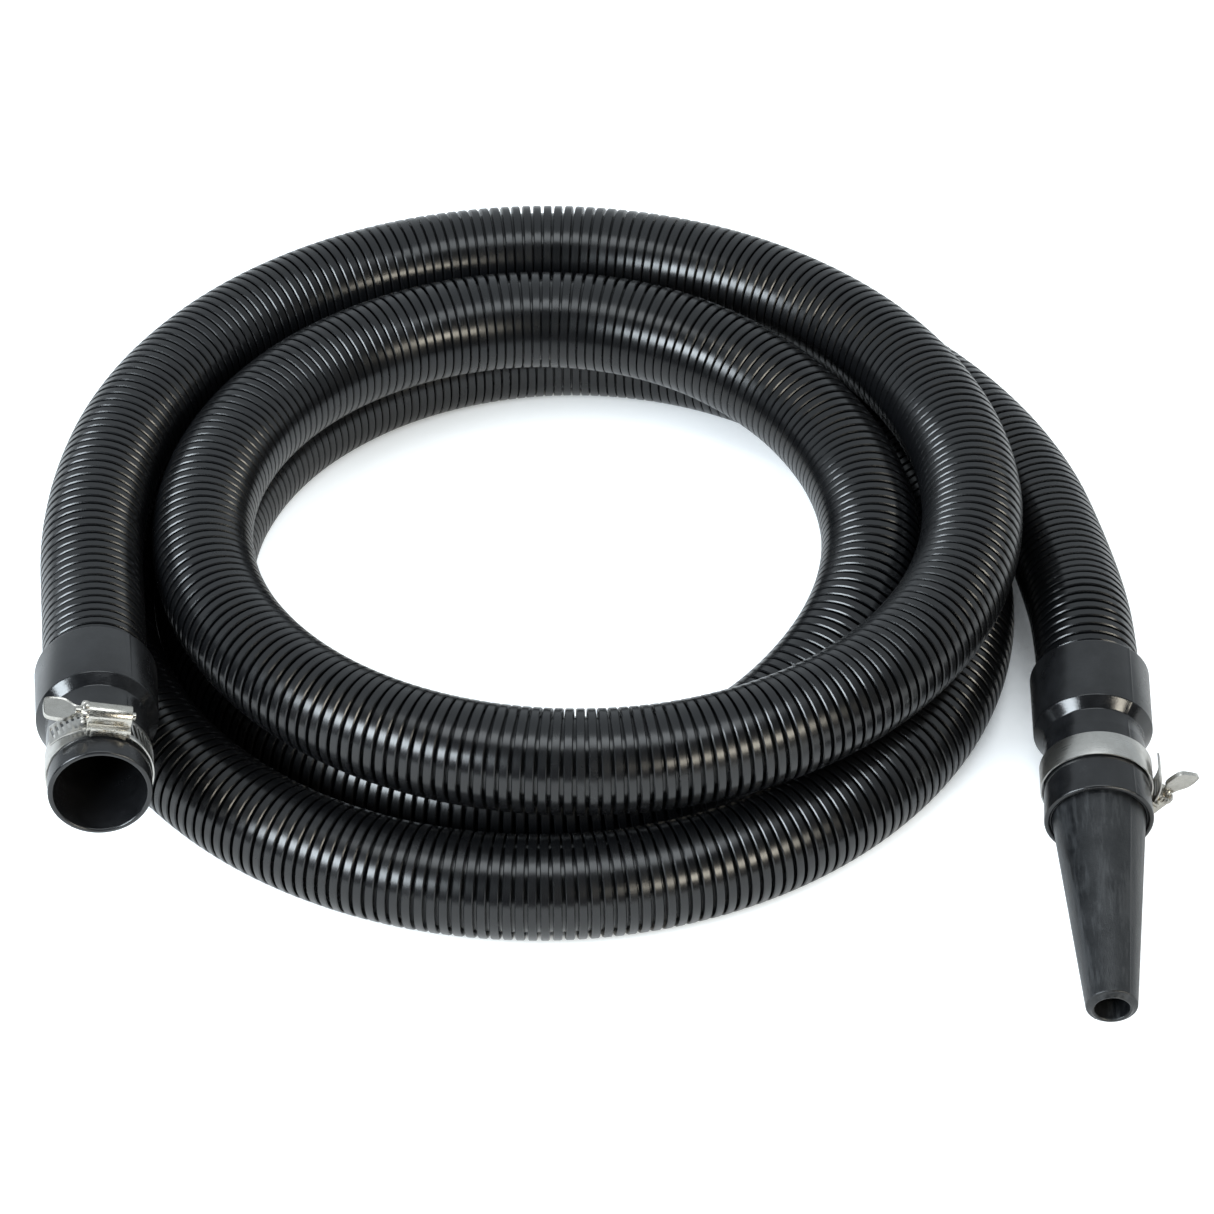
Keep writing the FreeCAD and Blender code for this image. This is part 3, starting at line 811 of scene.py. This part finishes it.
# %% Sheet-metal pieces
def soften(rough, width, segments, degrees):
    """Adds a bevel along every edge that is sharper than an angle."""
    bevel = rough.modifiers.new("soft edges", "BEVEL")
    bevel.width = width
    bevel.segments = segments
    bevel.limit_method = "ANGLE"
    bevel.angle_limit = math.radians(degrees)


def softened(node, name, matrix, material, width):
    """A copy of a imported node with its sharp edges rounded."""
    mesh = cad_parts[node].data.copy()
    mesh.materials.clear()
    mesh.materials.append(material)
    body = bmesh.new()
    body.from_mesh(mesh)
    bmesh.ops.remove_doubles(body, verts=body.verts, dist=2e-6)
    flat = math.radians(0.6)
    bmesh.ops.dissolve_limit(body, angle_limit=flat, verts=body.verts, edges=body.edges)
    body.to_mesh(mesh)
    body.free()
    rough = bpy.data.objects.new(name + "_rough", mesh)
    scene.collection.objects.link(rough)
    soften(rough, width * MM, 2, 30)
    made = finished_mesh(rough, name, material)
    bpy.data.objects.remove(rough)
    for attribute in list(made.data.attributes):
        if attribute.name.startswith("custom_normal"):
            made.data.attributes.remove(attribute)
    note_place(made.data, matrix.inverted())
    shade_by_angle(made, 35)
    return made


SHEET_PARTS = [
    # part, finish, width of its soft edge in mm
    ("band", band_steel, 0.10),
    ("saddle", housing_steel, 0.16),
    ("housing", housing_steel, 0.30),
]
sheet_pieces = {}
for which in CLAMPS:
    matrix = clamp_matrix(which)
    for part, material, width in SHEET_PARTS:
        node = "%s_clamp_%s" % (which, part)
        sheet_pieces[node] = softened(node, node + "_sheet", matrix, material, width)
        print(node, triangles(sheet_pieces[node]), "triangles")

# %% [markdown]
# ### Screw
#
# The screw is turned and rolled: a worm whose thread meets the band's slots, a plain pin
# at its far end, a toothed collar against the housing and a neck for the wing.  The thread
# is a wave that moves along the axis as it goes round, and the teeth are a wave that only
# goes round.

# %% Screw
COLLAR_R, COLLAR_THICK, END_PLAY = 4.0, 1.8, 0.1
NECK_R, PIN_R, WING_ROOT = 2.1, 1.7, 3.2
THREAD_PITCH, THREAD_DEPTH, WORM_ROWS = 2.5, 0.5, 48
COLLAR_TEETH, TOOTH_DEPTH = 20, 0.4
HOUSING_WALL, CHAMFER, THREAD_START = 0.8, 0.3, 0.4
SCREW_SIDES = 80


def make_screw(which):
    face = HOUSING_HALF + END_PLAY
    worm_end = HOUSING_HALF - HOUSING_WALL - END_PLAY
    back = face + COLLAR_THICK
    collar = [(NECK_R, face), (COLLAR_R, face), (COLLAR_R, back), (NECK_R, back)]
    collar = rounded(collar, {1: 0.35, 2: 0.35}, steps=2)
    head = face + COLLAR_THICK + WING_ROOT
    pin_end = -(HOUSING_HALF + COLLAR_THICK)
    rows = np.linspace(-worm_end + CHAMFER, worm_end - CHAMFER, WORM_ROWS)
    worm = [(WORM_R, z) for z in rows]
    outline = [(0.0, pin_end), (PIN_R - CHAMFER, pin_end), (PIN_R, pin_end + CHAMFER)]
    outline += [(PIN_R, -worm_end), (WORM_R - THREAD_START, -worm_end), *worm]
    outline += [(WORM_R - THREAD_START, worm_end), (NECK_R, worm_end), *collar]
    outline += [(NECK_R, head - CHAMFER), (NECK_R - CHAMFER, head), (0.0, head)]

    def relief(radius, height, angle):
        phase = 2 * math.pi * height / THREAD_PITCH - angle
        on_worm = (np.abs(height) < worm_end - 0.2) & (radius > WORM_R - 0.1)
        on_collar = (height > face) & (radius > COLLAR_R - 0.5)
        thread = -THREAD_DEPTH * (0.5 + 0.5 * np.cos(phase))
        teeth = -TOOTH_DEPTH * (0.5 + 0.5 * np.cos(COLLAR_TEETH * angle))
        return np.where(on_worm, thread, 0.0) + np.where(on_collar, teeth, 0.0)

    matrix = screw_matrix(which) @ Matrix.Rotation(math.radians(-90), 4, "Y")
    made = turned(which + "_clamp_screw_turned", outline, matrix, screw_steel, SCREW_SIDES, relief)
    shade_by_angle(made, 35)
    return made


screws = {which: make_screw(which) for which in CLAMPS}
print("screw:", triangles(screws["pump"]), "triangles")

# %% [markdown]
# ### Thumb wing
#
# The wing is one stamping: a narrow neck swells into a paddle with nearly straight sides
# and a blunt end.  The press leaves a raised rim round a slightly dished face, on both
# sides.  Its outline is drawn once and mirrored, then two insets make the rim and the
# dish, and a bevel softens the rest.

# %% Wing
WING_HALF_OUTLINE = [
    (0.0, 2.7), (1.4, 2.65), (2.6, 2.75), (3.7, 3.3), (4.8, 4.4), (6.0, 5.6),
    (7.3, 6.4), (8.8, 6.78), (10.4, 6.8), (12.0, 6.65), (13.4, 6.45), (14.5, 6.1),
    (15.3, 5.4), (15.8, 4.3), (16.0, 2.8), (16.05, 1.2),
]
WING_THICK, WING_RIM, WING_SLOPE, WING_DISH = 1.8, 0.9, 0.55, 0.42
WING_EDGE, WING_GAP = 0.28, 0.02


def make_wing(which):
    turn = CLAMPS[which][3]
    outline = WING_HALF_OUTLINE + [(u, -v) for u, v in reversed(WING_HALF_OUTLINE)]
    body = bmesh.new()
    front = body.faces.new([body.verts.new((u, v, WING_THICK / 2)) for u, v in outline])
    back = body.faces.new([body.verts.new((u, v, -WING_THICK / 2)) for u, v in reversed(outline)])
    count = len(outline)
    for i in range(count):
        j = (i + 1) % count
        a, b = front.verts[i], front.verts[j]
        c, d = back.verts[count - 1 - j], back.verts[count - 1 - i]
        body.faces.new((b, a, d, c))
    for face, away in ((front, 1), (back, -1)):
        bmesh.ops.inset_region(body, faces=[face], thickness=WING_RIM, use_even_offset=True)
        bmesh.ops.inset_region(body, faces=[face], thickness=WING_SLOPE, use_even_offset=True)
        for vertex in face.verts:
            vertex.co.z -= away * WING_DISH
    mesh = bpy.data.meshes.new(which + "_paddle")
    bmesh.ops.recalc_face_normals(body, faces=body.faces)
    body.to_mesh(mesh)
    body.free()
    paddle = bpy.data.objects.new(which + "_paddle", mesh)
    scene.collection.objects.link(paddle)
    soften(paddle, WING_EDGE, 3, 28)
    soft = finished_mesh(paddle, which + "_clamp_wing_stamped", wing_steel)
    bpy.data.objects.remove(paddle)

    spun = Matrix.Rotation(math.radians(turn), 4, "X")
    root = -(HOUSING_HALF + END_PLAY + COLLAR_THICK + WING_GAP)
    flat = Matrix(((-1, 0, 0, root * MM), (0, 0, 1, 0), (0, 1, 0, 0), (0, 0, 0, 1)))
    mesh = soft.data
    bpy.data.objects.remove(soft)
    made = placed(which + "_clamp_wing_stamped", mesh, screw_matrix(which) @ spun @ flat)
    shade_by_angle(made, 40)
    return made


wings = {which: make_wing(which) for which in CLAMPS}
print("wing:", triangles(wings["pump"]), "triangles")

# %% [markdown]
# ## Floor and light
#
# Black plastic shows its shape only by what it reflects.  A pale floor lights the lower
# half of every tube, a pale sky behind lights the top, and the side that faces the viewer
# stays dark.  Three soft boxes draw the highlights: one overhead, a cool one low on the
# left and a warm one low on the right.
#
# The floor also glows a little, more for the camera than for the hose, so that it looks
# evenly lit.  Where the turns close in on it, the glow fades, which paints shade in the gaps.

# %% Floor
FLOOR_HALF = 6.0


def make_floor():
    mesh = bpy.data.meshes.new("floor")
    low, high = -FLOOR_HALF, FLOOR_HALF
    corners = [(low, low, 0), (high, low, 0), (high, high, 0), (low, high, 0)]
    mesh.from_pydata(corners, [], [(0, 1, 2, 3)])
    made, tree, shader = start_material("floor_white")
    shader["Base Color"].default_value = (0.80, 0.80, 0.80, 1)
    shader["Roughness"].default_value = 0.9
    shader["Specular IOR Level"].default_value = 0.0
    shader["Emission Color"].default_value = (0.90, 0.96, 1, 1)
    seen = add_node(tree, "ShaderNodeLightPath").outputs["Is Camera Ray"]
    strength = spread(tree, seen, 0.0, 1.0, 0.28, 0.85)
    # Painted shade: ambient occlusion cuts the floor's glow where the turns close in on it.
    openness = add_node(tree, "ShaderNodeAmbientOcclusion", {"Distance": 0.08}).outputs["AO"]
    lit = spread(tree, openness, 0.05, 0.3, 0.0, 1.0)
    tree.links.new(number(tree, "MULTIPLY", strength, lit), shader["Emission Strength"])
    mesh.materials.append(made)
    floor = bpy.data.objects.new("floor", mesh)
    scene.collection.objects.link(floor)


make_floor()

# %% Sky
def make_sky():
    """Pale behind, dark towards the viewer, and evenly pale where it is seen itself."""
    world = bpy.data.worlds.new("sky")
    world.use_nodes = True
    tree = world.node_tree
    tree.nodes.clear()
    direction = add_node(tree, "ShaderNodeTexCoord").outputs["Generated"]
    parts = add_node(tree, "ShaderNodeSeparateXYZ", {0: direction}).outputs
    backward = spread(tree, parts["Y"], -0.25, 0.15, 0.03, 0.75)
    seen = add_node(tree, "ShaderNodeLightPath").outputs["Is Camera Ray"]
    strength = add_node(tree, "ShaderNodeMix", {0: seen, 2: backward, 3: 1.0}).outputs[0]
    glow = {"Color": (0.86, 0.94, 1, 1), "Strength": strength}
    sky = add_node(tree, "ShaderNodeBackground", glow)
    tree.links.new(sky.outputs[0], add_node(tree, "ShaderNodeOutputWorld").inputs["Surface"])
    return world


scene.world = make_sky()

# %% Soft boxes
LIT_POINT = Vector((0, 0, 0.04))


def soft_box(name, azimuth, elevation, distance, size, radiance, colour):
    """An area light aimed at the hose; azimuth is from the front, towards the right."""
    turn, lift = math.radians(azimuth), math.radians(elevation)
    level = math.cos(lift)
    toward = Vector((math.sin(turn) * level, -math.cos(turn) * level, math.sin(lift)))
    data = bpy.data.lights.new(name, "AREA")
    data.shape = "RECTANGLE"
    data.size, data.size_y = size
    data.energy = radiance * math.pi * size[0] * size[1]
    data.color = colour
    light = bpy.data.objects.new(name, data)
    light.location = LIT_POINT + toward * distance
    light.rotation_euler = toward.to_track_quat("Z", "Y").to_euler()
    scene.collection.objects.link(light)


soft_box("overhead_box", 0, 80, 1.9, (1.6, 0.7), 4.0, (0.90, 0.96, 1.0))
soft_box("cool_box", -50, 29, 2.1, (1.5, 0.60), 21.0, (0.84, 0.93, 1.0))
soft_box("warm_box", 38, 24, 2.1, (1.3, 0.40), 14.0, (1.0, 0.94, 0.80))
scene.view_settings.view_transform = "Standard"

# %% [markdown]
# ## Joining the pieces to the model
#
# Each piece rides on the body of the node that it stands for, and hides that node.  The
# hose is 4.09 m of 44 mm hose, coiled, from the pump's cuff to the nozzle.

# %% Stand for the imported nodes
def stands_for(piece, node, body):
    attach(piece, body)
    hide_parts(node)


SHEET_SLOTS = [("band", "band_steel"), ("saddle", "housing_steel"), ("housing", "housing_steel")]
stands_for(hose_wall, "hose", "hose_and_cuffs")
for ribs in hose_ribs:
    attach(ribs, "hose_and_cuffs")
stands_for(pump_cuff, "pump_cuff", "hose_and_cuffs")
stands_for(nozzle_cuff, "nozzle_cuff", "hose_and_cuffs")
stands_for(nozzle, "nozzle", "nozzle")
for which in CLAMPS:
    clamp, thumbscrew = which + "_clamp", which + "_thumbscrew"
    for part, slot in SHEET_SLOTS:
        node = "%s_%s" % (clamp, part)
        stands_for(sheet_pieces[node], node, clamp)
    stands_for(screws[which], clamp + "_screw", thumbscrew)
    stands_for(wings[which], clamp + "_wing", thumbscrew)

on_the_end = [nozzle, nozzle_cuff, screws["nozzle"], wings["nozzle"]]
on_the_end += [sheet_pieces["nozzle_clamp_" + part] for part in ("band", "saddle", "housing")]
